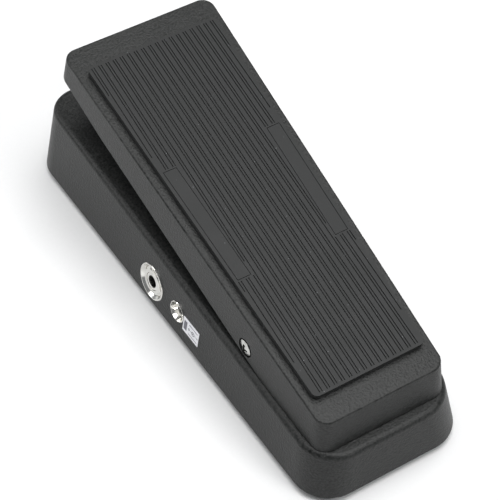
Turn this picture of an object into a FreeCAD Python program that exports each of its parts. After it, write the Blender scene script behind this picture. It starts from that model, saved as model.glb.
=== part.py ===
import FreeCAD, Part
import math
import os

from FreeCAD import Placement, Rotation, Vector

# A rocking guitar effects pedal. +X is the player's right, +Y the toe end, +Z up.
# The origin is under the middle of the pedal, at the underside of its rubber feet.
# The treadle is drawn on its heel-down stop, with the toe end raised.

os.makedirs("parts", exist_ok=True)

# ---- driving dimensions, millimetres and degrees ----

# housing
length = 254.0
heel_width = 80.0
toe_width = 102.0
foot_height = 4.0
heel_deck = foot_height + 23.6
toe_deck = foot_height + 40.8
wall = 3.0
wall_draft = 9.3
corner_radius = 17.8
deck_round = 3.0
plate_thickness = 1.5
foot_radius = 8.0

# treadle, in its own frame: x across, y along, z away from its top face
treadle_length = 220.0
treadle_heel_width = 63.3
treadle_toe_width = 79.5
treadle_corner = 6.2
treadle_round = 0.9
treadle_pitch = 10.93
treadle_centre = Vector(0, -7.4, foot_height + 63.6)
skirt = 3.0
skirt_side_draft = 5.9
skirt_heel_draft = 18.2
skirt_toe_draft = 5.1
skirt_edge = [(-72.5, -22.7), (70.0, -16.8), (160.0, -8.8)]
travel = 10.0

# rubber tread
pad_length = 193.3
pad_heel_width = 56.3
pad_toe_width = 68.6
pad_corner = 2.8
pad_thickness = 3.5
pad_offset = -1.4
rib_pitch = 3.74

# pivot
pivot = Vector(0, -59.4, foot_height + 36.4)
shaft_radius = 3.0
ear_inner = 22.5
ear_outer = 28.5
boss_face = 29.8
screw_seat = 34.2

# rack and pinion
lever = 79.0
gear_module = 0.7
pinion_teeth = 14
backlash = 0.15
rack_width = 5.0
pinion_height = 22.5
slot_y = (11.0, 28.0)
slot_half = 8.0
bracket_screw_x = 7.5

# side sockets
jack_y = 11.7
jack_height = foot_height + 11.9
power_y = -10.8
power_height = foot_height + 13.2
label_y = -23.0
label_height = foot_height + 11.55
socket_radius = 3.2
bushing_radius = 4.75
washer_radius = 9.7
dish_radius = 9.0
dish_floor = -1.2
bezel_radius = 4.9

# foot switch
switch_y = 92.0
plunger_travel = 2.5

plate_top = foot_height + plate_thickness
taper = (toe_width - heel_width) / 2 / length
deck_angle = math.degrees(math.atan2(toe_deck - heel_deck, length))
treadle_taper = (treadle_toe_width - treadle_heel_width) / 2 / treadle_length
x_axis = Vector(1, 0, 0)
y_axis = Vector(0, 1, 0)
z_axis = Vector(0, 0, 1)
pad_taper = (pad_toe_width - pad_heel_width) / 2 / pad_length
reach = 200.0

nodes = {}


# ---- helpers ----

def save(name, *solids):
    """keep the solids as one node"""
    nodes[name] = solids[0] if len(solids) == 1 else Part.makeCompound(list(solids))


def rounded_outline(corners, *radii):
    """closed wire through flat corners, each turned with an arc; one radius, or one per corner"""
    runs = []
    count = len(corners)
    for i, corner in enumerate(corners):
        radius = radii[i % len(radii)]
        back = (corners[i - 1] - corner).normalize()
        ahead = (corners[(i + 1) % count] - corner).normalize()
        half = back.getAngle(ahead) / 2
        inward = (back + ahead).normalize()
        start = corner + back * (radius / math.tan(half))
        middle = corner + inward * (radius / math.sin(half) - radius)
        end = corner + ahead * (radius / math.tan(half))
        runs.append((start, middle, end))
    edges = []
    for i, (start, middle, end) in enumerate(runs):
        edges.append(Part.LineSegment(runs[i - 1][2], start).toShape())
        edges.append(Part.Arc(start, middle, end).toShape())
    return Part.Wire(edges)


def slab(wire, rise):
    """flat wire extruded"""
    return Part.Face(wire).extrude(rise)


def side_prism(points, x_low, x_high):
    """(y, z) polygon extruded across the pedal"""
    ring = [Vector(x_low, y, z) for y, z in points]
    return slab(Part.makePolygon(ring + ring[:1]), Vector(x_high - x_low, 0, 0))


def box(x0, x1, y0, y1, z0, z1):
    return Part.makeBox(x1 - x0, y1 - y0, z1 - z0, Vector(x0, y0, z0))


def rod(radius, start, end):
    return Part.makeCylinder(radius, (end - start).Length, start, end - start)


def tube(outer, inner, start, end):
    return rod(outer, start, end).cut(rod(inner, start, end))


def turned(profile):
    """solid turned about z from (radius, height) corners"""
    ring = [Vector(r, 0, z) for r, z in profile]
    face = Part.Face(Part.makePolygon(ring + ring[:1]))
    return face.revolve(Vector(), Vector(0, 0, 1), 360)


def hexagon(across_flats, start, end):
    """hexagonal bar between two points"""
    step = (end - start).normalize()
    side = step.cross(x_axis) if abs(step.x) < 0.9 else step.cross(z_axis)
    side.normalize()
    corner = across_flats / math.sqrt(3)
    ring = [start + Rotation(step, 60.0 * k).multVec(side) * corner for k in range(6)]
    return slab(Part.makePolygon(ring + ring[:1]), end - start)


def round_edges(shape, radius, keep):
    """fillet the edges whose ends and middle all pass the test"""
    chosen = []
    for edge in shape.Edges:
        middle = edge.valueAt((edge.FirstParameter + edge.LastParameter) / 2)
        points = [vertex.Point for vertex in edge.Vertexes] + [middle]
        if all(keep(point) for point in points):
            chosen.append(edge)
    return shape.makeFillet(radius, chosen)


def wire_run(points, radius, bend):
    """insulated wire: straight runs joined by tangent arcs"""
    edges = []
    last = points[0]
    for before, corner, after in zip(points, points[1:], points[2:]):
        back = (before - corner).normalize()
        ahead = (after - corner).normalize()
        half = back.getAngle(ahead) / 2
        cut = bend / math.tan(half)
        middle = corner + (back + ahead).normalize() * (bend / math.sin(half) - bend)
        edges.append(Part.LineSegment(last, corner + back * cut).toShape())
        edges.append(Part.Arc(corner + back * cut, middle, corner + ahead * cut).toShape())
        last = corner + ahead * cut
    edges.append(Part.LineSegment(last, points[-1]).toShape())
    spine = Part.Wire(edges)
    ring = Part.Wire(Part.makeCircle(radius, points[0], points[1] - points[0]))
    return spine.makePipeShell([ring], True, False)


# ---- the housing's shape ----

def deck(y):
    """height of the housing's sloping top"""
    return heel_deck + (toe_deck - heel_deck) * (y / length + 0.5)


def half_width(y):
    """half the housing's width at its foot"""
    return heel_width / 2 + taper * (y + length / 2)


def plan_outline(inset, z):
    """the housing's plan, moved inwards"""
    y = length / 2 - inset
    side = inset * math.hypot(1, taper)
    heel_x = half_width(-y) - side
    toe_x = half_width(y) - side
    corners = [Vector(-heel_x, -y, z), Vector(heel_x, -y, z), Vector(toe_x, y, z), Vector(-toe_x, y, z)]
    heel_radius = corner_radius + 0.2 * inset
    toe_radius = corner_radius - 0.6 * inset
    return rounded_outline(corners, heel_radius, heel_radius, toe_radius, toe_radius)


def drafted_block(inset, z_low, z_high):
    """solid between the drafted walls"""
    lean = math.tan(math.radians(wall_draft))
    rings = [plan_outline(inset + (z - foot_height) * lean, z) for z in (z_low, z_high)]
    return Part.makeLoft(rings, True, True)


def above_deck(offset):
    """everything higher than the deck plane plus an offset"""
    low, high = -reach, reach
    points = [(low, deck(low) + offset), (high, deck(high) + offset), (high, reach), (low, reach)]
    return side_prism(points, -reach, reach)


def on_deck(x, y):
    """frame standing on the deck, its z along the deck's normal"""
    return Placement(Vector(x, y, deck(y)), Rotation(x_axis, deck_angle))


def on_wall(side, y, z):
    """frame on a side wall: z out of the wall, x along it, y up"""
    lean = math.radians(wall_draft)
    x = side * (half_width(y) - (z - foot_height) * math.tan(lean))
    outward = Vector(side * math.cos(lean), -taper * math.cos(lean), math.sin(lean)).normalize()
    along = Vector(taper, side, 0).normalize()
    up = outward.cross(along)
    return Placement(FreeCAD.Matrix(
        along.x, up.x, outward.x, x,
        along.y, up.y, outward.y, y,
        along.z, up.z, outward.z, z,
        0, 0, 0, 1))


foot_y = length / 2 - 17.0
foot_spots = [(side * (half_width(y) - 15.0), y) for y in (-foot_y, foot_y) for side in (-1, 1)]
switch_flat = deck(switch_y) + 1.6
switch_inside = deck(switch_y) - wall - 1.4
board_low = 20.0
board_top = board_low + 1.6
board_x = (-18.0, 24.0)
board_y = (-78.0, -24.0)
board_posts = [(x, y) for x in (board_x[0] + 4, board_x[1] - 4)
               for y in (board_y[0] + 4, board_y[1] - 4)]


def make_housing():
    outer = drafted_block(0, foot_height, 70.0).cut(above_deck(0))
    outer = round_edges(outer, deck_round, lambda p: abs(p.z - deck(p.y)) < 0.01)
    cavity = drafted_block(wall / math.cos(math.radians(wall_draft)), foot_height, 70.0)
    cavity = cavity.cut(above_deck(-wall))
    shell = outer.cut(cavity)

    # screw posts in the corners, and the flat seat of the foot switch
    posts = [rod(4.5, Vector(x, y, plate_top), Vector(x, y, deck(y) - 1)) for x, y in foot_spots]
    posts += [rod(3.2, Vector(x, y, board_top), Vector(x, y, deck(y) - 1)) for x, y in board_posts]
    posts.append(rod(12.0, Vector(0, switch_y, switch_inside), Vector(0, switch_y, switch_flat)))
    shell = shell.multiFuse(posts + [pivot_ear(-1), pivot_ear(1)])

    holes = [rod(1.7, Vector(x, y, plate_top), Vector(x, y, plate_top + 12)) for x, y in foot_spots]
    holes += [rod(1.2, Vector(x, y, board_top), Vector(x, y, board_top + 5)) for x, y in board_posts]
    holes.append(rod(6.1, Vector(0, switch_y, 0), Vector(0, switch_y, 60)))
    holes.append(box(-slot_half, slot_half, slot_y[0], slot_y[1], 25, 60))
    beyond = ear_outer + 2
    holes.append(rod(5.0, Vector(-beyond, pivot.y, pivot.z), Vector(beyond, pivot.y, pivot.z)))
    for side in (-1, 1):
        hole = rod(bushing_radius + 0.1, Vector(0, 0, -6), Vector(0, 0, 6))
        dish = [(0, 0.4), (dish_radius + 0.7, 0.4), (dish_radius + 0.4, 0),
                (7.3, dish_floor - 0.6), (0, dish_floor - 0.6)]
        hole = hole.fuse(turned(dish))
        hole.Placement = on_wall(side, jack_y, jack_height)
        holes.append(hole)
    hole = rod(bezel_radius + 0.1, Vector(0, 0, -6), Vector(0, 0, 6))
    hole.Placement = on_wall(-1, power_y, power_height)
    holes.append(hole)
    save("housing", shell.cut(Part.makeCompound(holes)).removeSplitter())


def pivot_ear(side):
    """ear that stands on the deck and carries a pivot bush"""
    low = deck(pivot.y) - 1.5
    foot = 12.0
    radius = 7.0
    cheek = side_prism([
        (pivot.y - foot, low),
        (pivot.y + foot, low + 2 * foot * math.tan(math.radians(deck_angle))),
        (pivot.y + radius, pivot.z),
        (pivot.y - radius, pivot.z)], ear_inner, ear_outer)
    eye = rod(radius, Vector(ear_inner, pivot.y, pivot.z), Vector(ear_outer, pivot.y, pivot.z))
    ear = cheek.fuse(eye)
    return ear if side > 0 else ear.mirror(Vector(), x_axis)


def make_base_plate():
    plate = slab(plan_outline(wall + 0.7, foot_height), z_axis * plate_thickness)
    feet = []
    screws = []
    for x, y in foot_spots:
        top = Vector(x, y, foot_height)
        foot = Part.makeCone(foot_radius - 1.2, foot_radius, foot_height, Vector(x, y, 0))
        foot = foot.cut(rod(4.2, Vector(x, y, 0), Vector(x, y, 2.2)))
        foot = foot.cut(rod(2.1, Vector(x, y, 0), top))
        feet.append(foot)
        plate = plate.cut(rod(2.1, top, top + z_axis * plate_thickness))
        screws.append(pan_screw(Vector(x, y, 2.2), z_axis, 3.6, 1.6, 1.65, 12.5))
    save("bottom_plate", plate)
    save("rubber_feet", *feet)
    save("foot_screws", *screws)


def pan_screw(seat, along, head_radius, head_height, shank_radius, shank_length):
    """round-headed screw with a cross recess; its head stands behind the seat"""
    crown = seat - along * head_height
    head = rod(head_radius, crown, seat)
    head = round_edges(head, head_height * 0.6, lambda p: abs((p - crown).dot(along)) < 0.01)
    screw = head.fuse(rod(shank_radius, seat, seat + along * shank_length))
    across = y_axis if abs(along.y) < 0.9 else x_axis
    depth = head_height * 0.6
    for spoke in (across, along.cross(across)):
        other = along.cross(spoke)
        half = head_radius * 0.6
        ring = []
        for run, side in ((-half, -0.4), (half, -0.4), (half, 0.4), (-half, 0.4)):
            ring.append(crown + spoke * run + other * side)
        screw = screw.cut(slab(Part.makePolygon(ring + ring[:1]), along * depth))
    return screw


# ---- the treadle ----

def treadle_outline(heel_out, side_out, toe_out, z):
    """the treadle's plan, moved outwards at each side"""
    heel_y = -treadle_length / 2 - heel_out
    toe_y = treadle_length / 2 + toe_out
    middle = (treadle_heel_width + treadle_toe_width) / 4 + side_out
    corners = [
        Vector(-middle - treadle_taper * heel_y, heel_y, z),
        Vector(middle + treadle_taper * heel_y, heel_y, z),
        Vector(middle + treadle_taper * toe_y, toe_y, z),
        Vector(-middle - treadle_taper * toe_y, toe_y, z)]
    return rounded_outline(corners, treadle_corner + min(side_out, 3.0))


def treadle_block(shrink, z_high):
    """solid between the flared skirt faces, shrunk inwards all round"""
    z_low = -30.0
    rings = []
    for z in (z_low, z_high):
        drafts = (skirt_heel_draft, skirt_side_draft, skirt_toe_draft)
        flare = [-z * math.tan(math.radians(draft)) - shrink for draft in drafts]
        rings.append(treadle_outline(*flare, z))
    return Part.makeLoft(rings, True, True)


def treadle_frame(angle):
    """where the treadle's own frame stands when it has rocked by an angle"""
    at_rest = Placement(treadle_centre, Rotation(x_axis, treadle_pitch))
    rocked = Placement(Vector(), Rotation(x_axis, angle), pivot)
    return rocked.multiply(at_rest)


def in_treadle(point, angle):
    """a point of the pedal in the treadle's own frame"""
    return treadle_frame(angle).inverse().multVec(point)


toe_down = -travel
heel_gap = 0.5
stop_gap = 0.5
toe_bumper_gap = 0.8
heel_bumper_gap = 0.4
heel_end = in_treadle(Vector(0, -length / 2, deck(-length / 2) + heel_gap), 0)
pivot_local = in_treadle(pivot, 0)
bumper_height = 4.0
toe_bumper_spots = [(-24.0, 94.0), (24.0, 94.0)]
heel_bumper_spots = [(-14.0, -104.0), (14.0, -104.0)]
plunger_top = switch_flat + 8.8
felt_thickness = 2.0
striker = in_treadle(Vector(0, switch_y, plunger_top + stop_gap), toe_down)
half_travel = math.radians(travel / 2)
pin_rest = pivot + Vector(0, lever * math.cos(half_travel), lever * math.sin(half_travel))
pin_local = in_treadle(pin_rest, 0)


def stop_posts():
    """posts under the treadle that meet the toe bumpers and carry the heel bumpers"""
    posts = []
    for x, y in toe_bumper_spots:
        end = in_treadle(Vector(x, y, deck(y) + bumper_height + toe_bumper_gap), toe_down)
        posts.append(rod(6.0, end, Vector(end.x, end.y, -1.0)))
    for x, y in heel_bumper_spots:
        end = in_treadle(Vector(x, y, deck(y) + heel_bumper_gap + bumper_height), 0)
        posts.append(rod(5.0, end, Vector(end.x, end.y, -1.0)))
    top = striker + z_axis * felt_thickness
    posts.append(rod(8.0, top, Vector(0, striker.y, -1.0)))
    return posts


def make_treadle():
    body = treadle_block(0, 0)
    lower_edge = [(heel_end.y, heel_end.z)] + skirt_edge
    body = body.cut(side_prism(lower_edge + [(reach, -60), (-reach, -60)], -reach, reach))
    body = round_edges(body, treadle_round, lambda p: abs(p.z) < 0.01)
    hollow = treadle_block(skirt, 5.0).common(box(-reach, reach, -reach, reach, -60, -skirt))
    body = body.cut(hollow)

    # cross ribs and bosses under the top
    ribs = []
    for y in (-88.0, -18.0, 5.0, 60.0):
        ribs.append(box(-60, 60, y - 1, y + 1, -8.0, -skirt + 0.5))
    for x in (-13.0, 13.0):
        ribs.append(box(x - 1, x + 1, -108, 107, -6.0, -skirt + 0.5))
    ribs = [rib.common(treadle_block(skirt - 0.5, 0)) for rib in ribs]
    bosses = []
    for side in (-1, 1):
        bosses.append(rod(6.5, Vector(side * boss_face, pivot_local.y, pivot_local.z),
                          Vector(side * 34.0, pivot_local.y, pivot_local.z)))
    body = body.multiFuse(ribs + bosses + stop_posts())

    holes = []
    for side in (-1, 1):
        ends = [Vector(side * x, pivot_local.y, pivot_local.z) for x in (boss_face - 1, screw_seat, 40)]
        holes.append(rod(2.2, ends[0], ends[2]))
        holes.append(rod(4.7, ends[1], ends[2]))
        hole = Vector(side * bracket_screw_x, pin_local.y, 0)
        holes.append(rod(1.3, hole - z_axis * (skirt + 1), hole - z_axis * 1.2))
    body = body.cut(Part.makeCompound(holes)).removeSplitter()
    place_on_treadle("treadle", body)


def place_on_treadle(name, *solids):
    """move solids from the treadle's own frame to where they stand, and keep them"""
    frame = treadle_frame(0)
    moved = []
    for solid in solids:
        solid = solid.copy()
        solid.Placement = frame.multiply(solid.Placement)
        moved.append(solid)
    save(name, *moved)


def pad_half(y):
    """half the tread's width at a place along it"""
    middle = (pad_heel_width + pad_toe_width) / 4
    return middle + pad_taper * (y - pad_offset)


def make_tread():
    """ribbed rubber mat with a smooth panel along each edge"""
    heel_y = pad_offset - pad_length / 2
    toe_y = pad_offset + pad_length / 2
    corners = [Vector(-pad_half(heel_y), heel_y, 0), Vector(pad_half(heel_y), heel_y, 0),
               Vector(pad_half(toe_y), toe_y, 0), Vector(-pad_half(toe_y), toe_y, 0)]
    pad = slab(rounded_outline(corners, pad_corner), z_axis * pad_thickness)
    depth = 0.9
    border = 1.6
    groove_half = 0.32
    grooves = []
    for k in range(-9, 9):
        for offset in (-0.62, 0.62):
            x = (k + 0.5) * rib_pitch + offset
            start = heel_y + border
            over = abs(x) + groove_half + border - pad_half(start)
            if over > 0:
                start += over / pad_taper
            if start < toe_y - 4 * border:
                side = (x - groove_half, x + groove_half)
                heights = (pad_thickness - depth, pad_thickness + 1)
                grooves.append(box(*side, start, toe_y - border, *heights))
    pad = pad.cut(Part.makeCompound(grooves))
    panels = []
    for side in (-1, 1):
        ring = []
        for y, margin in ((-34.5, 2.2), (28.5, 1.4), (28.5, 8.4), (-34.5, 8.2)):
            ring.append(Vector(side * (pad_half(y) - margin), y, pad_thickness - depth - 0.2))
        panels.append(slab(Part.makePolygon(ring + ring[:1]), z_axis * (depth + 0.2)))
    place_on_treadle("tread_pad", pad.multiFuse(panels).removeSplitter())


def make_pivot():
    ends = [Vector(side * boss_face, pivot.y, pivot.z) for side in (-1, 1)]
    shaft = rod(shaft_radius, ends[0], ends[1])
    bushes = []
    screws = []
    for side, end in zip((-1, 1), ends):
        shaft = shaft.cut(rod(1.7, end, end - x_axis * side * 12))
        inner = Vector(side * ear_inner, pivot.y, pivot.z)
        face = Vector(side * ear_outer, pivot.y, pivot.z)
        bush = rod(5.0, inner, face).fuse(rod(6.4, face, face + x_axis * side * 0.9))
        bushes.append(bush.cut(rod(shaft_radius + 0.05, inner, face + x_axis * side * 0.9)))
        seat = Vector(side * screw_seat, pivot.y, pivot.z)
        screws.append(pan_screw(seat, x_axis * -side, 4.0, 1.9, 1.65, 14.0))
    save("pivot_shaft", shaft)
    save("pivot_bushes", *bushes)
    save("pivot_screws", *screws)


def make_stops():
    toe = []
    for x, y in toe_bumper_spots:
        bumper = Part.makeCone(6.5, 5.5, bumper_height)
        bumper.Placement = on_deck(x, y)
        toe.append(bumper)
    save("toe_bumpers", *toe)
    heel = []
    for x, y in heel_bumper_spots:
        end = in_treadle(Vector(x, y, deck(y) + heel_bumper_gap + bumper_height), 0)
        bumper = rod(4.5, end, end - z_axis * (bumper_height + 6))
        bumper.Placement = treadle_frame(0)
        heel.append(bumper.common(above_deck(heel_bumper_gap)))
    save("heel_bumpers", *heel)
    place_on_treadle("striker_felt", rod(6.5, striker, striker + z_axis * felt_thickness))


# ---- rack, pinion and potentiometer ----

pitch_radius = gear_module * pinion_teeth / 2
tooth_pitch = math.pi * gear_module
pressure = math.radians(20.0)
rack_pitch_y = pin_rest.y - 1.8
pinion_y = rack_pitch_y - pitch_radius
rack_low = pinion_height - 1.4
rack_teeth = 8
rack_back = pin_rest.y + 2.7


def make_rack():
    """toothed bar hanging from its pin, teeth towards the heel"""
    tip = rack_pitch_y - gear_module
    root = rack_pitch_y + 1.25 * gear_module
    half_tip = tooth_pitch / 4 - gear_module * math.tan(pressure) - backlash / 2
    half_root = tooth_pitch / 4 + 1.25 * gear_module * math.tan(pressure) - backlash / 2
    points = [(rack_back, rack_low), (root, rack_low)]
    for k in range(rack_teeth):
        middle = pinion_height + k * tooth_pitch
        points += [(root, middle - half_root), (tip, middle - half_tip)]
        points += [(tip, middle + half_tip), (root, middle + half_root)]
    points += [(root, pin_rest.z), (rack_back, pin_rest.z)]
    bar = side_prism(points, -rack_width / 2, rack_width / 2)
    left = Vector(-rack_width / 2, pin_rest.y, pin_rest.z)
    right = Vector(rack_width / 2, pin_rest.y, pin_rest.z)
    save("rack_gear", bar.fuse(rod(3.6, left, right)).cut(rod(1.55, left, right)).removeSplitter())


def involute(angle):
    return math.tan(angle) - angle


def tooth_half_angle(radius):
    """half the angle that a pinion tooth fills at a radius"""
    base = pitch_radius * math.cos(pressure)
    local = math.acos(min(1.0, base / max(radius, base)))
    half = math.pi / 2 / pinion_teeth + involute(pressure) - involute(local)
    return half - backlash / 2 / pitch_radius


def make_pinion():
    low, high = pitch_radius - 1.2 * gear_module, pitch_radius + gear_module
    radii = [low, pitch_radius * 0.95, pitch_radius, high]
    points = []
    for k in range(pinion_teeth):
        middle = (k + 0.5) * 2 * math.pi / pinion_teeth
        for radius in radii:
            points.append((radius, middle - tooth_half_angle(radius)))
        for radius in reversed(radii):
            points.append((radius, middle + tooth_half_angle(radius)))
    ring = [(pinion_y + r * math.cos(a), pinion_height + r * math.sin(a)) for r, a in points]
    gear = side_prism(ring, -3.0, 3.0)
    axle = [Vector(x, pinion_y, pinion_height) for x in (-3.0, 3.0)]
    save("pinion", gear.cut(rod(shaft_radius, *axle)))
    save("pot_shaft", rod(shaft_radius, axle[0], Vector(10.0, pinion_y, pinion_height)))


def make_pot():
    def at(x):
        return Vector(x, pinion_y, pinion_height)

    can_radius = 10.5
    can = rod(can_radius, at(7.5), at(17.0))
    can = round_edges(can, 0.8, lambda p: abs(p.x - 17.0) < 0.01)
    save("pot_can", can.cut(rod(3.05, at(7.5), at(10.5))))
    save("pot_bushing", tube(3.6, 3.05, at(3.4), at(7.5)))
    save("pot_nut", hexagon(10.0, at(4.0), at(6.0)).cut(rod(3.6, at(4.0), at(6.0))))
    lugs = []
    for k in (-1, 0, 1):
        y = pinion_y + 5.0 * k
        lug = box(12.0, 12.8, y - 1.0, y + 1.0, 7.5, pinion_height - can_radius / 2)
        lugs.append(lug.cut(rod(can_radius, at(7.5), at(17.0))))
    save("pot_lugs", *lugs)

    # bracket that hangs the potentiometer under the deck
    low, high = pinion_y - 17.0, pinion_y + 17.0
    plate = side_prism([
        (low, 12.0), (high, 12.0), (high, deck(high) - wall), (low, deck(low) - wall)], 6.0, 7.5)
    plate = plate.cut(box(5, 9, pinion_y - 9.5, pinion_y + 9.5, 28.5, 60))
    bracket = plate.cut(rod(3.6, at(5.0), at(9.0)))
    screws = []
    for y in (low + 2.5, high - 2.5):
        ends = [y - 2.5, y + 2.5]
        tab = [(ends[0], deck(ends[0]) - wall - 1.5), (ends[1], deck(ends[1]) - wall - 1.5),
               (ends[1], deck(ends[1]) - wall), (ends[0], deck(ends[0]) - wall)]
        bracket = bracket.fuse(side_prism(tab, 7.0, 15.0))
        seat = Vector(11.5, y, deck(y) - wall - 1.7)
        bracket = bracket.cut(rod(1.3, seat - z_axis, seat + z_axis * 4))
        screws.append(pan_screw(seat, z_axis, 2.2, 1.3, 1.25, 1.6))
    save("pot_bracket", bracket.removeSplitter())
    save("bracket_screws", *screws)

    # nylon guide that keeps the rack against the pinion
    guide_face = rack_back + lever * (1 - math.cos(math.radians(travel / 2))) + 0.2
    save("rack_guide", box(-4.0, 6.0, guide_face, guide_face + 4.0, 13.0, 28.0))


def make_rack_bracket():
    """sheet bracket under the treadle with two ears for the rack pin"""
    half = rack_width / 2 + 0.4
    sheet = 1.5
    top = -skirt
    strap = box(-11.0, 11.0, pin_local.y - 4.0, pin_local.y + 4.0, top - sheet, top)
    pieces = []
    for side in (-1, 1):
        inner, outer = sorted((side * half, side * (half + sheet)))
        pieces.append(box(inner, outer, pin_local.y - 3.8, pin_local.y + 3.8, pin_local.z, top))
        eye = Vector(inner, pin_local.y, pin_local.z)
        pieces.append(rod(3.8, eye, eye + x_axis * sheet))
    bracket = strap.multiFuse(pieces)
    ends = [Vector(side * (half + sheet + 0.9), pin_local.y, pin_local.z) for side in (-1, 1)]
    bracket = bracket.cut(rod(1.5, *ends))
    screws = []
    for side in (-1, 1):
        seat = Vector(side * bracket_screw_x, pin_local.y, top - sheet)
        bracket = bracket.cut(rod(1.35, seat, seat + z_axis * sheet))
        screws.append(pan_screw(seat, z_axis, 2.4, 1.4, 1.25, sheet + 1.6))
    place_on_treadle("rack_bracket", bracket.removeSplitter())
    place_on_treadle("rack_screws", *screws)
    place_on_treadle("rack_pin", rod(1.5, *ends))


# ---- sockets on the side walls ----

def place_on_wall(name, side, y, z, *solids):
    frame = on_wall(side, y, z)
    moved = []
    for solid in solids:
        solid = solid.copy()
        solid.Placement = frame.multiply(solid.Placement)
        moved.append(solid)
    save(name, *moved)


def make_jack(prefix, side):
    """quarter-inch socket: dished washer and nut sunk in the wall, contacts inside"""
    def at(out):
        return Vector(0, 0, out)

    spot = (side, jack_y, jack_height)
    inside = -wall - 0.2
    back = inside - 19.0
    washer = turned([
        (bushing_radius, dish_floor - 0.6), (7.1, dish_floor - 0.6), (dish_radius + 0.2, 0),
        (washer_radius, 0), (washer_radius, 0.25), (washer_radius - 0.2, 0.5), (dish_radius, 0.5),
        (7.5, dish_floor),
        (bushing_radius, dish_floor)])
    nut = hexagon(12.7, at(dish_floor), at(0)).cut(rod(bushing_radius, at(-2), at(2)))
    nut = nut.common(Part.makeCone(8.0, 6.5, -dish_floor, at(dish_floor)))
    nut.Placement = Placement(Vector(), Rotation(z_axis, 24.0))
    bushing = tube(bushing_radius, socket_radius, at(inside), at(-0.2))
    bushing = round_edges(bushing, 0.4, lambda p: p.z > -0.3 and math.hypot(p.x, p.y) > 4)
    body = box(-6.6, 6.6, -6.6, 6.6, back, inside).cut(rod(socket_radius, at(back), at(inside)))
    springs = []
    for turn in (-1, 1):
        low, high = sorted((turn * 6.6, turn * 7.3))
        springs.append(box(low, high, -1.6, 1.6, back - 3.5, back + 9.0))
    place_on_wall(prefix + "_washer", *spot, washer)
    place_on_wall(prefix + "_nut", *spot, nut)
    place_on_wall(prefix + "_bushing", *spot, bushing)
    place_on_wall(prefix + "_body", *spot, body)
    place_on_wall(prefix + "_contacts", *spot, *springs)


def make_power_inlet():
    """barrel socket for a mains adapter"""
    def at(out):
        return Vector(0, 0, out)

    spot = (-1, power_y, power_height)
    bore = 4.1
    step = -2.6
    bezel = turned([
        (bore, -wall - 0.2), (bezel_radius, -wall - 0.2), (bezel_radius, 0), (5.5, 0), (5.5, 0.3),
        (5.3, 0.5), (5.05, 0.5), (bore, step)])
    barrel = tube(bore, 2.9, at(-8.0), at(step))
    body = box(-5.5, 5.5, -5.5, 5.5, -14.0, -wall - 0.2)
    body = body.cut(rod(bore, at(-8.0), at(0))).cut(rod(2.9, at(-11.0), at(0)))
    place_on_wall("power_nut", *spot, bezel)
    place_on_wall("power_barrel", *spot, barrel)
    place_on_wall("power_body", *spot, body)
    place_on_wall("power_pin", *spot, rod(1.0, at(-11.0), at(-3.4)))
    place_on_wall("spec_label", -1, label_y, label_height, box(-6.45, 6.45, -4.4, 4.4, 0, 0.25))


# ---- foot switch ----

def make_switch():
    def at(z):
        return Vector(0, switch_y, z)

    body_low = switch_inside - 17.0
    bushing_top = switch_flat + 4.2
    cap_low = bushing_top + plunger_travel + 0.1
    body = box(-8.6, 8.6, switch_y - 8.6, switch_y + 8.6, body_low, switch_inside)
    stem = 4.0
    bore = stem + 0.06
    save("switch_body", body.cut(rod(bore, at(switch_inside - 5), at(bushing_top))))
    save("switch_bushing", tube(6.0, bore, at(switch_inside), at(bushing_top)))
    save("switch_washer", tube(9.0, 6.1, at(switch_flat), at(switch_flat + 0.8)))
    nut = hexagon(14.0, at(switch_flat + 0.8), at(switch_flat + 3.4))
    save("switch_nut", nut.cut(rod(6.0, at(0), at(60))))
    lugs = []
    for i in (-1, 0, 1):
        for j in (-1, 0, 1):
            x, y = i * 5.0, switch_y + j * 5.0
            lugs.append(box(x - 0.4, x + 0.4, y - 1.2, y + 1.2, body_low - 4.0, body_low))
    save("switch_lugs", *lugs)
    plunger = rod(stem, at(switch_inside - 2), at(cap_low)).fuse(rod(5.0, at(cap_low), at(plunger_top)))
    save("switch_plunger", round_edges(plunger, 1.0, lambda p: p.z > plunger_top - 0.01))


# ---- circuit board and battery ----

def make_board():
    board = box(*board_x, *board_y, board_low, board_top)
    screws = []
    for x, y in board_posts:
        board = board.cut(rod(1.3, Vector(x, y, board_low), Vector(x, y, board_top)))
        screws.append(pan_screw(Vector(x, y, board_low), z_axis, 2.2, 1.3, 1.15, 5.5))
    save("circuit_board", board)
    save("board_screws", *screws)

    def below(x, y, radius, height):
        return rod(radius, Vector(x, y, board_low), Vector(x, y, board_low - height))

    coil = below(12.0, -58.0, 7.5, 9.0)
    save("inductor", round_edges(coil, 0.8, lambda p: p.z < board_low - 8.9))
    parts = [below(-8.0, -66.0, 3.0, 9.0), below(-8.0, -57.0, 3.0, 9.0), below(-8.0, -36.0, 4.0, 11.0)]
    parts += [box(-2.0, 5.5, y, y + 4.0, board_low - 7.0, board_low) for y in (-46.0, -38.0)]
    save("capacitors", *parts)
    stubs = []
    for k in range(7):
        y = -44.0 + 2.8 * k
        stubs.append(rod(1.1, Vector(9.0, y, board_low - 1.2), Vector(15.5, y, board_low - 1.2)))
    save("resistors", *stubs)
    cans = []
    for y in (-51.0, -44.0):
        round_part = below(-11.5, y, 2.4, 5.0)
        cans.append(round_part.cut(box(-20, -13.0, y - 4, y + 4, 0, board_low)))
    save("transistors", *cans)


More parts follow.
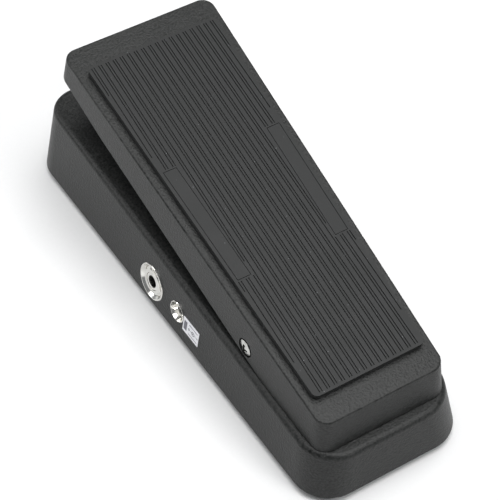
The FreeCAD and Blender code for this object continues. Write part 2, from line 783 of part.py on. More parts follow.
def make_battery():
    x = (-33.0, -6.5)
    y = (34.0, 82.5)
    z = (plate_top + 2.5, plate_top + 20.0)
    case = box(*x, *y, *z)
    save("battery", round_edges(case, 2.0, lambda p: p.x in x and p.z in z))
    save("battery_foam", box(x[0] + 1, x[1] - 1, y[0] + 4, y[1] - 4, plate_top, z[0]))
    level = (z[0] + z[1]) / 2
    studs = []
    for k in (-1, 1):
        middle = Vector((x[0] + x[1]) / 2 + 6.35 * k, y[0], level)
        studs.append(rod(3.0, middle, middle - y_axis * 2.6))
    save("battery_terminals", *studs)
    snap = box(x[0] + 1.5, x[1] - 1.5, y[0] - 4.6, y[0] - 0.4, level - 6.0, level + 6.0)
    for stud in studs:
        snap = snap.cut(stud)
    save("battery_snap", snap)


def make_wiring():
    """insulated wires between the sockets, the board, the switch and the battery"""
    thin = 0.7
    bend = 3.0
    snap_top = plate_top + 17.25
    floor = plate_top + 4.0
    lug_low = switch_inside - 21.0
    routes = {
        "battery_leads": [
            [Vector(-26, 32, snap_top), Vector(-26, 32, 27.5), Vector(-28, -24, 27.5),
             Vector(-13, -44, 26.5), Vector(-13, -44, board_top)],
            [Vector(-22, 32, snap_top), Vector(-22, 32, 27.5), Vector(-24, -24, 27.5),
             Vector(-9, -44, 26.5), Vector(-9, -44, board_top)]],
        "switch_wires": [
            [Vector(-4.5, switch_y, lug_low), Vector(-4.5, switch_y, floor), Vector(-4.5, -30, floor),
             Vector(-4.5, -30, board_low)],
            [Vector(5, switch_y, lug_low), Vector(5, switch_y, floor), Vector(24, 66, floor),
             Vector(24, 36, floor), Vector(24, jack_y + 16.3, 12.6), Vector(24, jack_y + 8.6, 12.6)]]}
    for name, runs in routes.items():
        save(name, *[wire_run(points, thin, bend) for points in runs])


make_housing()
make_base_plate()
make_treadle()
make_tread()
make_pivot()
make_stops()
make_rack()
make_pinion()
make_pot()
make_rack_bracket()
make_jack("output_jack", -1)
make_jack("input_jack", 1)
make_power_inlet()
make_switch()
make_board()
make_battery()
make_wiring()

for name, shape in nodes.items():
    shape.exportStep(os.path.join("parts", name + ".step"))
    state = "valid" if shape.isValid() else "INVALID"
    print(name, len(shape.Solids), "solids", round(shape.Volume, 1), "mm3", state)
print(len(nodes), "nodes")
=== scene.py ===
import math

import bmesh
import bpy
from mathutils import Matrix, Vector


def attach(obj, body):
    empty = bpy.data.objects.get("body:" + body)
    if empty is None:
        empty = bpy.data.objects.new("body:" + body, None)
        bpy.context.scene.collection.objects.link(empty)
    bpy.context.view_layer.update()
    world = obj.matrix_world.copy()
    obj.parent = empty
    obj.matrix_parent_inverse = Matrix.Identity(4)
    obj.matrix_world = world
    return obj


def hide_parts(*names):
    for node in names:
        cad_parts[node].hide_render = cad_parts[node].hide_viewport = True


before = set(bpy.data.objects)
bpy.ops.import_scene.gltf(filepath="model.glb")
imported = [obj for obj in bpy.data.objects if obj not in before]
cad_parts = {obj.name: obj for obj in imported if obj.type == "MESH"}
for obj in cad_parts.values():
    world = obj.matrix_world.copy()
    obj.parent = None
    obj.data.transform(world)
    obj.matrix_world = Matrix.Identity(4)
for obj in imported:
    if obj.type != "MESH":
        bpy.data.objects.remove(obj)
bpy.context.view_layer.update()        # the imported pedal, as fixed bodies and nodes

print("frame loaded:", len(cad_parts), "nodes")
mm = 0.001
scene = bpy.context.scene
scene.view_settings.view_transform = "Standard"


# camera, floor and light

cameraSet = {"place": (-0.2456, -0.4135, 0.6040), "target": (0.01067, 0.01298, 0.004), "lens": 114.7,
             "sensor": 36, "nearest": 0.01}

softBoxes = [
    {"name": "overhead", "place": (0.12, -0.05, 1.25), "target": (0, -0.04, 0.03), "size": 1.1, "power": 18},
    {"name": "leftBack", "place": (-0.85, 0.8, 1.2), "target": (0, 0, 0.03), "size": 0.6, "power": 3},
    {"name": "leftLow", "place": (-1.1, 1.05, 0.8), "target": (0, 0, 0.03), "size": 0.3, "power": 5},
    {"name": "heelFront", "place": (0.5, -1.0, 1.1), "target": (0, -0.1, 0.03), "size": 0.45, "power": 6},
]

skySet = {"colour": (0.94, 0.97, 1.0, 1), "strength": 0.22}

floorSet = {"reach": 4.0, "paper": dict(dark=(0.79, 0.79, 0.79), light=(0.81, 0.81, 0.81), patchMm=60,
                                        grainMm=2, gloss=(0.85, 0.95), reliefMm=0.01)}


def aimed(place, target):
    turn = (Vector(target) - Vector(place)).to_track_quat("-Z", "Y")
    return Matrix.LocRotScale(Vector(place), turn, None)


def linkObject(name, data):
    made = bpy.data.objects.new(name, data)
    scene.collection.objects.link(made)
    return made


def makeCamera():
    lens = bpy.data.cameras.new("camera")
    lens.lens = cameraSet["lens"]
    lens.sensor_width = cameraSet["sensor"]
    lens.clip_start = cameraSet["nearest"]
    view = linkObject("camera", lens)
    view.matrix_world = aimed(cameraSet["place"], cameraSet["target"])
    scene.camera = view


def makeLights():
    for box in softBoxes:
        lamp = bpy.data.lights.new(box["name"], "AREA")
        lamp.shape = "SQUARE"
        lamp.size = box["size"]
        lamp.energy = box["power"]
        linkObject(box["name"], lamp).matrix_world = aimed(box["place"], box["target"])
    world = bpy.data.worlds.new("studio")
    world.use_nodes = True
    background = world.node_tree.nodes["Background"].inputs
    background["Color"].default_value = skySet["colour"]
    background["Strength"].default_value = skySet["strength"]
    scene.world = world


# node helpers

def addNode(tree, kind, values=None, **settings):
    node = tree.nodes.new(kind)
    for key, value in settings.items():
        setattr(node, key, value)
    for key, value in (values or {}).items():
        socket = node.inputs[key]
        if isinstance(value, bpy.types.NodeSocket):
            tree.links.new(value, socket)
        elif isinstance(value, list):        # a socket that takes several links
            for one in value:
                tree.links.new(one, socket)
        else:
            socket.default_value = value
    return node


def output(tree, kind, values=None, **settings):
    return addNode(tree, kind, values, **settings).outputs[0]


def calc(tree, operation, first, second=None):
    values = {0: first}
    if second is not None:
        values[1] = second
    return output(tree, "ShaderNodeMath", values, operation=operation)


def split(tree, vector):
    return addNode(tree, "ShaderNodeSeparateXYZ", {0: vector}).outputs


def combine(tree, x, y, z):
    return output(tree, "ShaderNodeCombineXYZ", {0: x, 1: y, 2: z})


def ramp(tree, value, low, high, outLow, outHigh):
    spread = {"Value": value, "From Min": low, "From Max": high, "To Min": outLow, "To Max": outHigh}
    return addNode(tree, "ShaderNodeMapRange", spread).outputs["Result"]


def blend(tree, factor, first, second):
    mix = addNode(tree, "ShaderNodeMix", {0: factor}, data_type="RGBA")
    for index, colour in ((6, first), (7, second)):        # the sockets of its two colours
        if isinstance(colour, bpy.types.NodeSocket):
            tree.links.new(colour, mix.inputs[index])
        else:
            mix.inputs[index].default_value = (*colour, 1)
    return mix.outputs[2]


def noise(tree, place, sizeMm):
    return output(tree, "ShaderNodeTexNoise",
                  {"Vector": place, "Scale": 1 / (sizeMm * mm), "Detail": noiseSet["detail"]})


# every finish: patches and grain in the colour, a varied gloss, and a fine relief

noiseSet = {"detail": 3.0, "colourSpan": (0.35, 0.65), "glossSpan": (0.3, 0.7)}


def newFinish(name, dark, light, patchMm, grainMm, gloss, reliefMm,
              metal=0.0, grainShare=0.4, shine=0.5):
    material = bpy.data.materials.new(name)
    material.use_nodes = True
    tree = material.node_tree
    shader = tree.nodes["Principled BSDF"]
    place = addNode(tree, "ShaderNodeTexCoord").outputs["Object"]
    patches = noise(tree, place, patchMm)
    grain = noise(tree, place, grainMm)
    mixed = calc(tree, "ADD", calc(tree, "MULTIPLY", grain, grainShare),
                 calc(tree, "MULTIPLY", patches, 1 - grainShare))
    colour = blend(tree, ramp(tree, mixed, *noiseSet["colourSpan"], 0.0, 1.0), dark, light)
    tree.links.new(colour, shader.inputs["Base Color"])
    tree.links.new(ramp(tree, mixed, *noiseSet["glossSpan"], *gloss), shader.inputs["Roughness"])
    relief = {"Strength": 1.0, "Distance": reliefMm * mm, "Height": grain}
    tree.links.new(output(tree, "ShaderNodeBump", relief), shader.inputs["Normal"])
    shader.inputs["Metallic"].default_value = metal
    shader.inputs["Specular IOR Level"].default_value = shine
    return {"material": material, "tree": tree, "shader": shader, "place": place, "colour": colour}


def makeFloor():
    sheet = bpy.data.meshes.new("floor")
    reach = floorSet["reach"]
    sheet.from_pydata([(-reach, -reach, 0), (reach, -reach, 0), (reach, reach, 0), (-reach, reach, 0)],
                      [], [(0, 1, 2, 3)])
    floor = linkObject("floor", sheet)
    sheet.materials.append(newFinish("paper", **floorSet["paper"])["material"])


makeCamera()
makeLights()
makeFloor()
print("camera, lights and floor placed")


# finishes

finishSet = {
    "castPaint": dict(dark=(0.005, 0.0055, 0.005), light=(0.028, 0.029, 0.028), patchMm=30, grainMm=1.0,
                      gloss=(0.34, 0.50), reliefMm=0.28, grainShare=0.85, shine=0.29),
    "platePaint": dict(dark=(0.020, 0.020, 0.021), light=(0.030, 0.030, 0.031), patchMm=25, grainMm=0.6,
                       gloss=(0.45, 0.6), reliefMm=0.03),
    "treadRubber": dict(dark=(0.011, 0.0115, 0.0115), light=(0.022, 0.023, 0.0225), patchMm=14, grainMm=0.35,
                        gloss=(0.5, 0.72), reliefMm=0.02, shine=0.36),
    "softRubber": dict(dark=(0.014, 0.014, 0.014), light=(0.024, 0.024, 0.024), patchMm=6, grainMm=0.4,
                       gloss=(0.6, 0.8), reliefMm=0.02),
    "felt": dict(dark=(0.05, 0.05, 0.05), light=(0.12, 0.12, 0.12), patchMm=3, grainMm=0.25,
                 gloss=(0.9, 1.0), reliefMm=0.15),
    "foam": dict(dark=(0.07, 0.07, 0.08), light=(0.14, 0.14, 0.15), patchMm=4, grainMm=0.8,
                 gloss=(0.9, 1.0), reliefMm=0.3),
    "brightScrew": dict(dark=(0.42, 0.42, 0.40), light=(0.60, 0.60, 0.58), patchMm=2, grainMm=0.2,
                        gloss=(0.14, 0.3), reliefMm=0.004, metal=1.0),
    "nickel": dict(dark=(0.70, 0.69, 0.65), light=(0.84, 0.83, 0.80), patchMm=5, grainMm=0.3,
                   gloss=(0.10, 0.26), reliefMm=0.003, metal=1.0),
    "plainSteel": dict(dark=(0.42, 0.42, 0.42), light=(0.58, 0.58, 0.57), patchMm=6, grainMm=0.2,
                       gloss=(0.25, 0.45), reliefMm=0.006, metal=1.0),
    "nylon": dict(dark=(0.62, 0.60, 0.54), light=(0.74, 0.73, 0.68), patchMm=8, grainMm=0.5,
                  gloss=(0.3, 0.45), reliefMm=0.01),
    "tinnedBrass": dict(dark=(0.55, 0.47, 0.26), light=(0.74, 0.66, 0.44), patchMm=4, grainMm=0.2,
                        gloss=(0.2, 0.4), reliefMm=0.005, metal=1.0),
    "blackPlastic": dict(dark=(0.012, 0.012, 0.012), light=(0.022, 0.022, 0.022), patchMm=6, grainMm=0.4,
                         gloss=(0.3, 0.5), reliefMm=0.01),
    "blueCase": dict(dark=(0.03, 0.09, 0.34), light=(0.04, 0.13, 0.44), patchMm=8, grainMm=0.5,
                     gloss=(0.2, 0.35), reliefMm=0.01),
    "labelFilm": dict(dark=(0.80, 0.80, 0.83), light=(0.88, 0.88, 0.91), patchMm=5, grainMm=0.3,
                      gloss=(0.25, 0.4), reliefMm=0.003),
    "labelInk": dict(dark=(0.10, 0.10, 0.12), light=(0.20, 0.20, 0.23), patchMm=2, grainMm=0.15,
                     gloss=(0.4, 0.6), reliefMm=0.003),
    "boardGreen": dict(dark=(0.015, 0.11, 0.04), light=(0.025, 0.17, 0.06), patchMm=3, grainMm=0.3,
                       gloss=(0.2, 0.35), reliefMm=0.01),
    "coilRed": dict(dark=(0.30, 0.02, 0.015), light=(0.42, 0.04, 0.03), patchMm=4, grainMm=0.3,
                    gloss=(0.2, 0.35), reliefMm=0.01),
    "capacitorFilm": dict(dark=(0.42, 0.22, 0.04), light=(0.58, 0.34, 0.07), patchMm=3, grainMm=0.3,
                          gloss=(0.15, 0.3), reliefMm=0.02),
    "resistorBody": dict(dark=(0.46, 0.36, 0.22), light=(0.60, 0.50, 0.34), patchMm=2, grainMm=0.2,
                         gloss=(0.3, 0.4), reliefMm=0.01),
    "batteryJacket": dict(dark=(0.10, 0.10, 0.12), light=(0.16, 0.16, 0.18), patchMm=12, grainMm=0.5,
                          gloss=(0.2, 0.35), reliefMm=0.01, metal=0.6),
    "wireRed": dict(dark=(0.34, 0.02, 0.015), light=(0.48, 0.04, 0.03), patchMm=4, grainMm=0.3,
                    gloss=(0.3, 0.45), reliefMm=0.01),
    "wireWhite": dict(dark=(0.62, 0.62, 0.58), light=(0.74, 0.74, 0.70), patchMm=4, grainMm=0.3,
                      gloss=(0.3, 0.45), reliefMm=0.01),
}
finishes = {name: newFinish(name, **values) for name, values in finishSet.items()}

# a few pale specks lie on the tread's rubber
dustSet = {"spacingMm": 11.0, "speckMm": 0.24, "colour": (0.12, 0.125, 0.13)}


def addDust():
    finish = finishes["treadRubber"]
    tree = finish["tree"]
    flat = output(tree, "ShaderNodeVectorMath", {0: finish["place"], 1: (1, 1, 0)}, operation="MULTIPLY")
    cells = addNode(tree, "ShaderNodeTexVoronoi",
                    {"Vector": flat, "Scale": 1 / (dustSet["spacingMm"] * mm)},
                    voronoi_dimensions="2D").outputs
    reach = dustSet["speckMm"] / dustSet["spacingMm"]
    size = calc(tree, "MULTIPLY", split(tree, cells["Color"])[0], reach)
    speck = calc(tree, "LESS_THAN", cells["Distance"], size)
    speckled = blend(tree, speck, finish["colour"], dustSet["colour"])
    tree.links.new(speckled, finish["shader"].inputs["Base Color"])


addDust()

# which CAD nodes take which finish
finishNodes = {
    "castPaint": ["housing", "treadle"],
    "platePaint": ["bottom_plate"],
    "treadRubber": ["tread_pad"],
    "softRubber": ["rubber_feet", "toe_bumpers", "heel_bumpers"],
    "felt": ["striker_felt"],
    "foam": ["battery_foam"],
    "brightScrew": ["pivot_screws", "foot_screws", "board_screws", "bracket_screws", "rack_screws"],
    "nickel": ["output_jack_washer", "output_jack_nut", "output_jack_bushing", "input_jack_washer",
               "input_jack_nut", "input_jack_bushing", "power_nut", "power_barrel", "power_pin",
               "switch_bushing", "switch_nut", "switch_washer", "switch_plunger", "pot_nut", "pot_bushing"],
    "plainSteel": ["pivot_shaft", "rack_pin", "rack_bracket", "pot_bracket", "pot_can", "pot_shaft"],
    "nylon": ["pivot_bushes", "rack_gear", "rack_guide", "pinion"],
    "tinnedBrass": ["output_jack_contacts", "input_jack_contacts", "pot_lugs", "switch_lugs",
                    "battery_terminals"],
    "blackPlastic": ["output_jack_body", "input_jack_body", "power_body", "battery_snap", "transistors"],
    "blueCase": ["switch_body"],
    "labelFilm": ["spec_label"],
    "boardGreen": ["circuit_board"],
    "coilRed": ["inductor"],
    "capacitorFilm": ["capacitors"],
    "resistorBody": ["resistors"],
    "batteryJacket": ["battery"],
    "wireRed": ["battery_leads"],
    "wireWhite": ["switch_wires"],
}
for finishName, names in finishNodes.items():
    for nodeName in names:
        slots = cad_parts[nodeName].data.materials
        slots.clear()
        slots.append(finishes[finishName]["material"])
print("finishes assigned:", len(finishes))


# geometry-node helpers

def newTree(name, inputs):
    tree = bpy.data.node_groups.new(name, "GeometryNodeTree")
    tree.interface.new_socket("Geometry", in_out="INPUT", socket_type="NodeSocketGeometry")
    tree.interface.new_socket("Geometry", in_out="OUTPUT", socket_type="NodeSocketGeometry")
    kinds = {float: "NodeSocketFloat", int: "NodeSocketInt"}
    for label, value in inputs.items():
        kind = kinds.get(type(value), "NodeSocketMaterial")
        tree.interface.new_socket(label, in_out="INPUT", socket_type=kind)
    return tree, tree.nodes.new("NodeGroupInput").outputs, tree.nodes.new("NodeGroupOutput").inputs


bevelSet = {"segments": 2, "leastTurn": 40}        # edges that turn less than this, in degrees, stay sharp


def runTree(name, tree, inputs, mesh, bevelMm):
    made = linkObject(name, mesh)
    maker = made.modifiers.new("shape", "NODES")
    maker.node_group = tree
    for item in tree.interface.items_tree:
        if item.in_out == "INPUT" and item.name in inputs:
            maker[item.identifier] = inputs[item.name]
    bevel = made.modifiers.new("bevel", "BEVEL")
    bevel.width = bevelMm * mm
    bevel.segments = bevelSet["segments"]
    bevel.limit_method = "ANGLE"
    bevel.angle_limit = math.radians(bevelSet["leastTurn"])
    graph = bpy.context.evaluated_depsgraph_get()
    plain = bpy.data.meshes.new_from_object(made.evaluated_get(graph))
    made.modifiers.clear()
    plain.validate()
    made.data = plain
    plain.name = name
    return made


# the ribbed rubber tread: pairs of narrow grooves, and a smooth outlined panel along each edge

# where the treadle's middle is at rest, its pitch in degrees, and the pad's offset along it
treadPlace = {"treadleMiddle": (0, -0.0074, 0.0676), "pitch": 10.93, "padOffset": -1.4 * mm}

treadBevelMm = 0.14

treadSet = {
    "Heel Width": 56.3 * mm, "Toe Width": 68.6 * mm, "Length": 193.3 * mm, "Thickness": 3.5 * mm,
    "Corner": 2.8 * mm, "Grooves": 18, "Rib Pitch": 3.74 * mm, "Groove Spread": 0.62 * mm,
    "Groove Width": 0.46 * mm, "Groove Depth": 0.62 * mm, "Border": 1.3 * mm,
    "Panel Heel": -33.1 * mm, "Panel Toe": 29.9 * mm, "Panel Margin": 1.7 * mm, "Panel Width": 6.6 * mm,
    "Panel Gap": 0.9 * mm, "Outline": 0.42 * mm, "Flange": 1.5 * mm, "Side Groove": 0.5 * mm,
    "Outline Share": 0.8,        # the outlines' depth as a share of the grooves'
}


def makeTread():
    inputs = dict(treadSet, Rubber=finishes["treadRubber"]["material"])
    tree, given, result = newTree("ribbedTread", inputs)
    length = given["Length"]
    thick = given["Thickness"]
    taper = calc(tree, "DIVIDE", calc(tree, "SUBTRACT", given["Toe Width"], given["Heel Width"]),
                 calc(tree, "MULTIPLY", length, 2.0))
    middle = calc(tree, "MULTIPLY", calc(tree, "ADD", given["Toe Width"], given["Heel Width"]), 0.25)
    toeEnd = calc(tree, "SUBTRACT", calc(tree, "MULTIPLY", length, 0.5), given["Border"])
    heelEnd = calc(tree, "MULTIPLY", toeEnd, -1.0)

    # the plain pad: its rounded outline filled, raised and closed underneath
    outline = output(tree, "GeometryNodeCurvePrimitiveQuadrilateral",
                     {"Bottom Width": given["Heel Width"], "Top Width": given["Toe Width"],
                      "Height": length, "Offset": 0.0}, mode="TRAPEZOID")
    outline = output(tree, "GeometryNodeFilletCurve",
                     {"Curve": outline, "Count": 9, "Radius": given["Corner"]}, mode="POLY")
    face = output(tree, "GeometryNodeFillCurve", {0: outline}, mode="NGONS")
    raised = output(tree, "GeometryNodeExtrudeMesh",
                    {"Mesh": face, "Offset": combine(tree, 0.0, 0.0, 1.0), "Offset Scale": thick,
                     "Individual": False})
    under = output(tree, "GeometryNodeFlipFaces", {0: face})
    pad = output(tree, "GeometryNodeJoinGeometry", {0: [raised, under]})
    pad = output(tree, "GeometryNodeMergeByDistance", {"Geometry": pad, "Distance": 0.001 * mm})

    # cutters: a long box for each groove, started where the border meets the slanted side,
    # and split where it would cross the smooth panel
    rows = []
    firstRib = calc(tree, "MULTIPLY", calc(tree, "SUBTRACT", given["Grooves"], 1.0), -0.5)
    for side in (-1.0, 1.0):
        first = calc(tree, "MULTIPLY", given["Rib Pitch"], firstRib)
        first = calc(tree, "ADD", first, calc(tree, "MULTIPLY", given["Groove Spread"], side))
        rows.append(output(tree, "GeometryNodeMeshLine", {
            "Count": given["Grooves"], "Start Location": combine(tree, first, 0.0, 0.0),
            "Offset": combine(tree, given["Rib Pitch"], 0.0, 0.0)}, mode="OFFSET"))
    points = output(tree, "GeometryNodeJoinGeometry", {0: rows})
    across = split(tree, output(tree, "GeometryNodeInputPosition"))[0]
    outward = calc(tree, "ABSOLUTE", across)
    edge = calc(tree, "ADD", middle, calc(tree, "MULTIPLY", taper, heelEnd))
    over = calc(tree, "SUBTRACT", calc(tree, "ADD", outward, given["Border"]), edge)
    start = calc(tree, "ADD", heelEnd, calc(tree, "DIVIDE", calc(tree, "MAXIMUM", over, 0.0), taper))
    panelIn = calc(tree, "SUBTRACT", middle, given["Panel Margin"])
    panelIn = calc(tree, "SUBTRACT", panelIn, given["Panel Width"])
    crossing = calc(tree, "SUBTRACT", calc(tree, "ADD", outward, given["Panel Gap"]), panelIn)
    crossing = calc(tree, "DIVIDE", crossing, taper)
    inside = calc(tree, "LESS_THAN", crossing, given["Panel Heel"])
    beyond = calc(tree, "MINIMUM", crossing, calc(tree, "ADD", given["Panel Toe"], given["Panel Gap"]))
    toeStart = calc(tree, "ADD", calc(tree, "MULTIPLY", inside, start),
                    calc(tree, "MULTIPLY", calc(tree, "SUBTRACT", 1.0, inside), beyond))
    toeStart = calc(tree, "MAXIMUM", toeStart, start)
    heelStop = calc(tree, "SUBTRACT", calc(tree, "SUBTRACT", given["Panel Heel"], given["Panel Gap"]),
                    calc(tree, "MULTIPLY", inside, length))
    bar = output(tree, "GeometryNodeMeshCube")
    deep = calc(tree, "MULTIPLY", given["Groove Depth"], 2.0)
    shortest = calc(tree, "MULTIPLY", given["Border"], 2.0)
    runs = []
    for low, high in ((toeStart, toeEnd), (start, heelStop)):
        run = calc(tree, "SUBTRACT", high, low)
        centre = calc(tree, "MULTIPLY", calc(tree, "ADD", high, low), 0.5)
        moved = output(tree, "GeometryNodeSetPosition",
                       {"Geometry": points, "Offset": combine(tree, 0.0, centre, thick)})
        enough = output(tree, "FunctionNodeCompare", {0: run, 1: shortest}, operation="GREATER_THAN")
        runs.append(output(tree, "GeometryNodeInstanceOnPoints", {
            "Points": moved, "Selection": enough, "Instance": bar,
            "Scale": combine(tree, given["Groove Width"], run, deep)}))
    cutters = output(tree, "GeometryNodeJoinGeometry", {0: runs})
    cutters = output(tree, "GeometryNodeRealizeInstances", {0: cutters})

    # one shallow groove round each panel, and one in the pad's side above its flange
    def sweptGroove(curve, width, depth, height):
        tool = output(tree, "GeometryNodeCurvePrimitiveQuadrilateral", {
            "Width": width, "Height": calc(tree, "MULTIPLY", depth, 2.0)}, mode="RECTANGLE")
        lifted = output(tree, "GeometryNodeTransform", {
            "Geometry": curve, "Translation": combine(tree, 0.0, 0.0, height)})
        return output(tree, "GeometryNodeCurveToMesh", {"Curve": lifted, "Profile Curve": tool})

    firstSocket = 7        # the quadrilateral's first corner among its sockets
    rings = [sweptGroove(outline, calc(tree, "MULTIPLY", given["Side Groove"], 2.0),
                         calc(tree, "MULTIPLY", given["Side Groove"], 0.5), given["Flange"])]
    shallow = calc(tree, "MULTIPLY", given["Groove Depth"], given["Outline Share"])
    for side in (-1.0, 1.0):
        corners = {}
        spots = (("Panel Heel", 1, 0), ("Panel Heel", 0, 1), ("Panel Toe", 0, 2), ("Panel Toe", 1, 3))
        for end, inner, index in spots:
            half = calc(tree, "ADD", middle, calc(tree, "MULTIPLY", taper, given[end]))
            half = calc(tree, "SUBTRACT", half, given["Panel Margin"])
            if inner:
                half = calc(tree, "SUBTRACT", half, given["Panel Width"])
            corners[firstSocket + index] = combine(tree, calc(tree, "MULTIPLY", half, side), given[end], 0.0)
        curve = output(tree, "GeometryNodeCurvePrimitiveQuadrilateral", corners, mode="POINTS")
        rings.append(sweptGroove(curve, given["Outline"], shallow, thick))
    pad = output(tree, "GeometryNodeMeshBoolean", {0: pad, 1: [cutters] + rings}, operation="DIFFERENCE")
    pad = output(tree, "GeometryNodeRealizeInstances", {0: pad})
    pad = output(tree, "GeometryNodeSetMaterial", {"Geometry": pad, "Material": given["Rubber"]})
    tree.links.new(pad, result[0])

    tread = runTree("rubberTread", tree, inputs, bpy.data.meshes.new("rubberTread"), treadBevelMm)
    pitched = Matrix.Rotation(math.radians(treadPlace["pitch"]), 4, "X")
    offset = Matrix.Translation((0, treadPlace["padOffset"], 0))
    tread.data.transform(Matrix.Translation(treadPlace["treadleMiddle"]) @ pitched @ offset)
    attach(tread, "treadle")
    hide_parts("tread_pad")
    print("tread:", len(tread.data.polygons), "faces")


makeTread()


# pan-head screws with a cross recess, sizes and places in millimetres; each set has its own tree,
# which puts the screws on points that carry their facing

screwSets = {
    "pivotScrews": {"replaces": "pivot_screws", "body": "treadle", "slot": "bright_screw",
                    "headRadius": 4.0, "headHeight": 1.9, "shankRadius": 1.65, "shankLength": 14.0,
                    "places": [(34.2, -59.4, 40.4), (-34.2, -59.4, 40.4)],
                    "facings": [(1, 0, 0), (-1, 0, 0)]},
    "footScrews": {"replaces": "foot_screws", "body": "base", "slot": "bright_screw",
                   "headRadius": 3.6, "headHeight": 1.6, "shankRadius": 1.65, "shankLength": 12.5,
                   "places": [(25.74, -110, 2.2), (-25.74, -110, 2.2), (35.26, 110, 2.2), (-35.26, 110, 2.2)],
                   "facings": [(0, 0, -1)] * 4},
    "boardScrews": {"replaces": "board_screws", "body": "base", "slot": "bright_screw",
                    "headRadius": 2.2, "headHeight": 1.3, "shankRadius": 1.15, "shankLength": 5.5,
                    "places": [(-14, -74, 20), (20, -74, 20), (-14, -28, 20), (20, -28, 20)],
                    "facings": [(0, 0, -1)] * 4},
}


# dome, recessDepth and edge are shares of the head's height, recess and recessWidth of its radius
headShape = {"dome": 0.45, "domePower": 2.6, "recess": 1.25, "recessWidth": 0.36, "recessDepth": 0.8,
             "edge": 0.04}


def makeScrews(name, values):
    wide, tall = values["headRadius"], values["headHeight"]
    sizes = {"Head Radius": wide * mm, "Head Height": tall * mm,
             "Dome": tall * headShape["dome"] * mm, "Recess": wide * headShape["recess"] * mm,
             "Recess Width": wide * headShape["recessWidth"] * mm,
             "Recess Depth": tall * headShape["recessDepth"] * mm,
             "Shank Radius": values["shankRadius"] * mm, "Shank Length": values["shankLength"] * mm}
    inputs = dict(sizes, Metal=finishes["brightScrew"]["material"])
    tree, given, result = newTree(name + "Tree", inputs)
    height = given["Head Height"]

    def shaft(radius, length, low, sides, rings):
        made = output(tree, "GeometryNodeMeshCylinder", {
            "Vertices": sides, "Side Segments": 1, "Fill Segments": rings, "Radius": radius,
            "Depth": length})
        lift = calc(tree, "ADD", low, calc(tree, "MULTIPLY", length, 0.5))
        return output(tree, "GeometryNodeTransform",
                      {"Geometry": made, "Translation": combine(tree, 0.0, 0.0, lift)})

    # the head's top is lowered towards its rim
    head = shaft(given["Head Radius"], height, 0.0, sides=40, rings=5)
    spot = split(tree, output(tree, "GeometryNodeInputPosition"))
    span = calc(tree, "SQRT", calc(tree, "ADD", calc(tree, "MULTIPLY", spot[0], spot[0]),
                                   calc(tree, "MULTIPLY", spot[1], spot[1])))
    share = calc(tree, "POWER", calc(tree, "DIVIDE", span, given["Head Radius"]), headShape["domePower"])
    top = calc(tree, "GREATER_THAN", spot[2], calc(tree, "MULTIPLY", height, 0.5))
    drop = calc(tree, "MULTIPLY", calc(tree, "MULTIPLY", share, top), given["Dome"])
    head = output(tree, "GeometryNodeSetPosition", {
        "Geometry": head, "Offset": combine(tree, 0.0, 0.0, calc(tree, "MULTIPLY", drop, -1.0))})
    tip = calc(tree, "MULTIPLY", given["Shank Length"], -1.0)
    shank = shaft(given["Shank Radius"], given["Shank Length"], tip, sides=24, rings=1)
    whole = output(tree, "GeometryNodeMeshBoolean", {1: [head, shank]}, operation="UNION")

    # the cross recess is two bars, sunk by half their height
    bar = output(tree, "GeometryNodeMeshCube")
    deep = calc(tree, "MULTIPLY", given["Recess Depth"], 2.0)
    arms = []
    for turn in (0.0, math.pi / 2):
        arms.append(output(tree, "GeometryNodeTransform", {
            "Geometry": bar, "Translation": combine(tree, 0.0, 0.0, height), "Rotation": (0, 0, turn),
            "Scale": combine(tree, given["Recess"], given["Recess Width"], deep)}))
    whole = output(tree, "GeometryNodeMeshBoolean", {0: whole, 1: arms}, operation="DIFFERENCE")

    facing = output(tree, "GeometryNodeInputNamedAttribute", {"Name": "facing"}, data_type="FLOAT_VECTOR")
    turned = output(tree, "FunctionNodeAlignRotationToVector", {"Vector": facing}, axis="Z")
    placed = output(tree, "GeometryNodeInstanceOnPoints",
                    {"Points": given["Geometry"], "Instance": whole, "Rotation": turned})
    placed = output(tree, "GeometryNodeRealizeInstances", {0: placed})
    placed = output(tree, "GeometryNodeSetMaterial", {"Geometry": placed, "Material": given["Metal"]})
    tree.links.new(placed, result[0])

    spots = bpy.data.meshes.new(name)
    spots.from_pydata([[value * mm for value in place] for place in values["places"]], [], [])
    spots.attributes.new("facing", "FLOAT_VECTOR", "POINT").data.foreach_set(
        "vector", [value for facing in values["facings"] for value in facing])
    screws = runTree(name, tree, inputs, spots, tall * headShape["edge"])
    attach(screws, values["body"])
    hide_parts(values["replaces"])
    print(name + ":", len(screws.data.polygons), "faces")


for screwName, screwValues in screwSets.items():
    makeScrews(screwName, screwValues)


# the label's printed marks: a grey panel, a socket symbol between its signs, and two ruled lines

# the housing's side wall, in millimetres and degrees
wallSet = {"heelHalfWidth": 40, "toeHalfWidth": 51, "length": 254, "foot": 4, "draft": 9.3}

labelSet = {
    "side": -1, "along": -23.0, "height": 15.55,
    "bars": [(-4.4, 0.0, 2.4, 5.6), (1.9, 2.9, 7.0, 0.35), (1.9, -2.9, 7.0, 0.35), (5.2, 0.0, 1.5, 0.4),
             (-1.4, 0.0, 1.5, 0.4), (-1.4, 0.0, 0.4, 1.5), (0.2, 0.0, 1.0, 0.25), (3.6, 0.0, 1.0, 0.25)],
    "ringPlace": (1.9, 0.0), "ringRadius": 1.25, "dotRadius": 0.5, "line": 0.35, "ink": 0.04, "film": 0.25,
    "ringSteps": 28, "dotSides": 20,
}


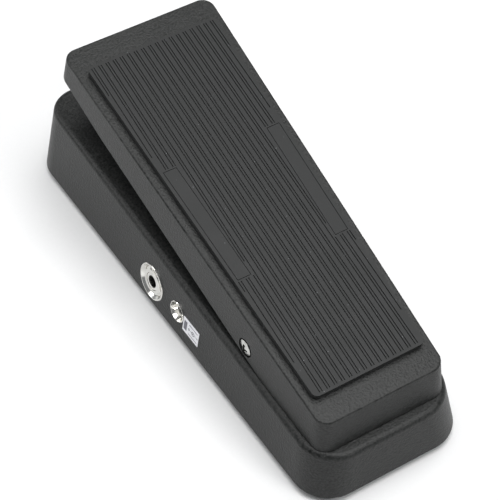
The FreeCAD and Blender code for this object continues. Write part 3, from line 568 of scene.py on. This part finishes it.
def makeLabelMarks():
    # the wall leans in by its draft, and the housing narrows towards the heel
    side = labelSet["side"]
    lean = math.radians(wallSet["draft"])
    taper = (wallSet["toeHalfWidth"] - wallSet["heelHalfWidth"]) / wallSet["length"]
    halfWidth = wallSet["heelHalfWidth"] + taper * (labelSet["along"] + wallSet["length"] / 2)
    x = side * (halfWidth - (labelSet["height"] - wallSet["foot"]) * math.tan(lean))
    outward = Vector((side * math.cos(lean), -taper * math.cos(lean), math.sin(lean))).normalized()
    along = Vector((taper, side, 0)).normalized()
    onWall = Matrix((along, outward.cross(along), outward)).transposed().to_4x4()
    onWall.translation = Vector((x, labelSet["along"], labelSet["height"]))
    low, high = labelSet["film"], labelSet["film"] + labelSet["ink"]
    centre = (low + high) / 2
    shape = bmesh.new()
    for u, v, width, tall in labelSet["bars"]:
        bmesh.ops.create_cube(shape, size=1, matrix=Matrix.LocRotScale(
            Vector((u, v, centre)), None, Vector((width, tall, high - low))))
    u, v = labelSet["ringPlace"]
    outer, inner = labelSet["ringRadius"], labelSet["ringRadius"] - labelSet["line"]
    steps = labelSet["ringSteps"]
    turns = [2 * math.pi * k / steps for k in range(steps)]
    loops = []
    for radius, z in ((inner, low), (outer, low), (outer, high), (inner, high)):
        loops.append([shape.verts.new((u + radius * math.cos(turn), v + radius * math.sin(turn), z))
                      for turn in turns])
    for near, far in zip(loops, loops[1:] + loops[:1]):
        for j in range(steps):
            ahead = (j + 1) % steps
            shape.faces.new((near[j], near[ahead], far[ahead], far[j]))
    bmesh.ops.create_cone(shape, segments=labelSet["dotSides"], cap_ends=True,
                          radius1=labelSet["dotRadius"], radius2=labelSet["dotRadius"],
                          depth=high - low, matrix=Matrix.Translation((u, v, centre)))
    bmesh.ops.recalc_face_normals(shape, faces=shape.faces)
    printed = bpy.data.meshes.new("labelMarks")
    shape.to_mesh(printed)
    shape.free()
    printed.transform(Matrix.Scale(mm, 4) @ onWall)
    printed.materials.append(finishes["labelInk"]["material"])
    marks = linkObject("labelMarks", printed)
    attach(marks, "base")
    print("label marks:", len(printed.polygons), "faces")


makeLabelMarks()
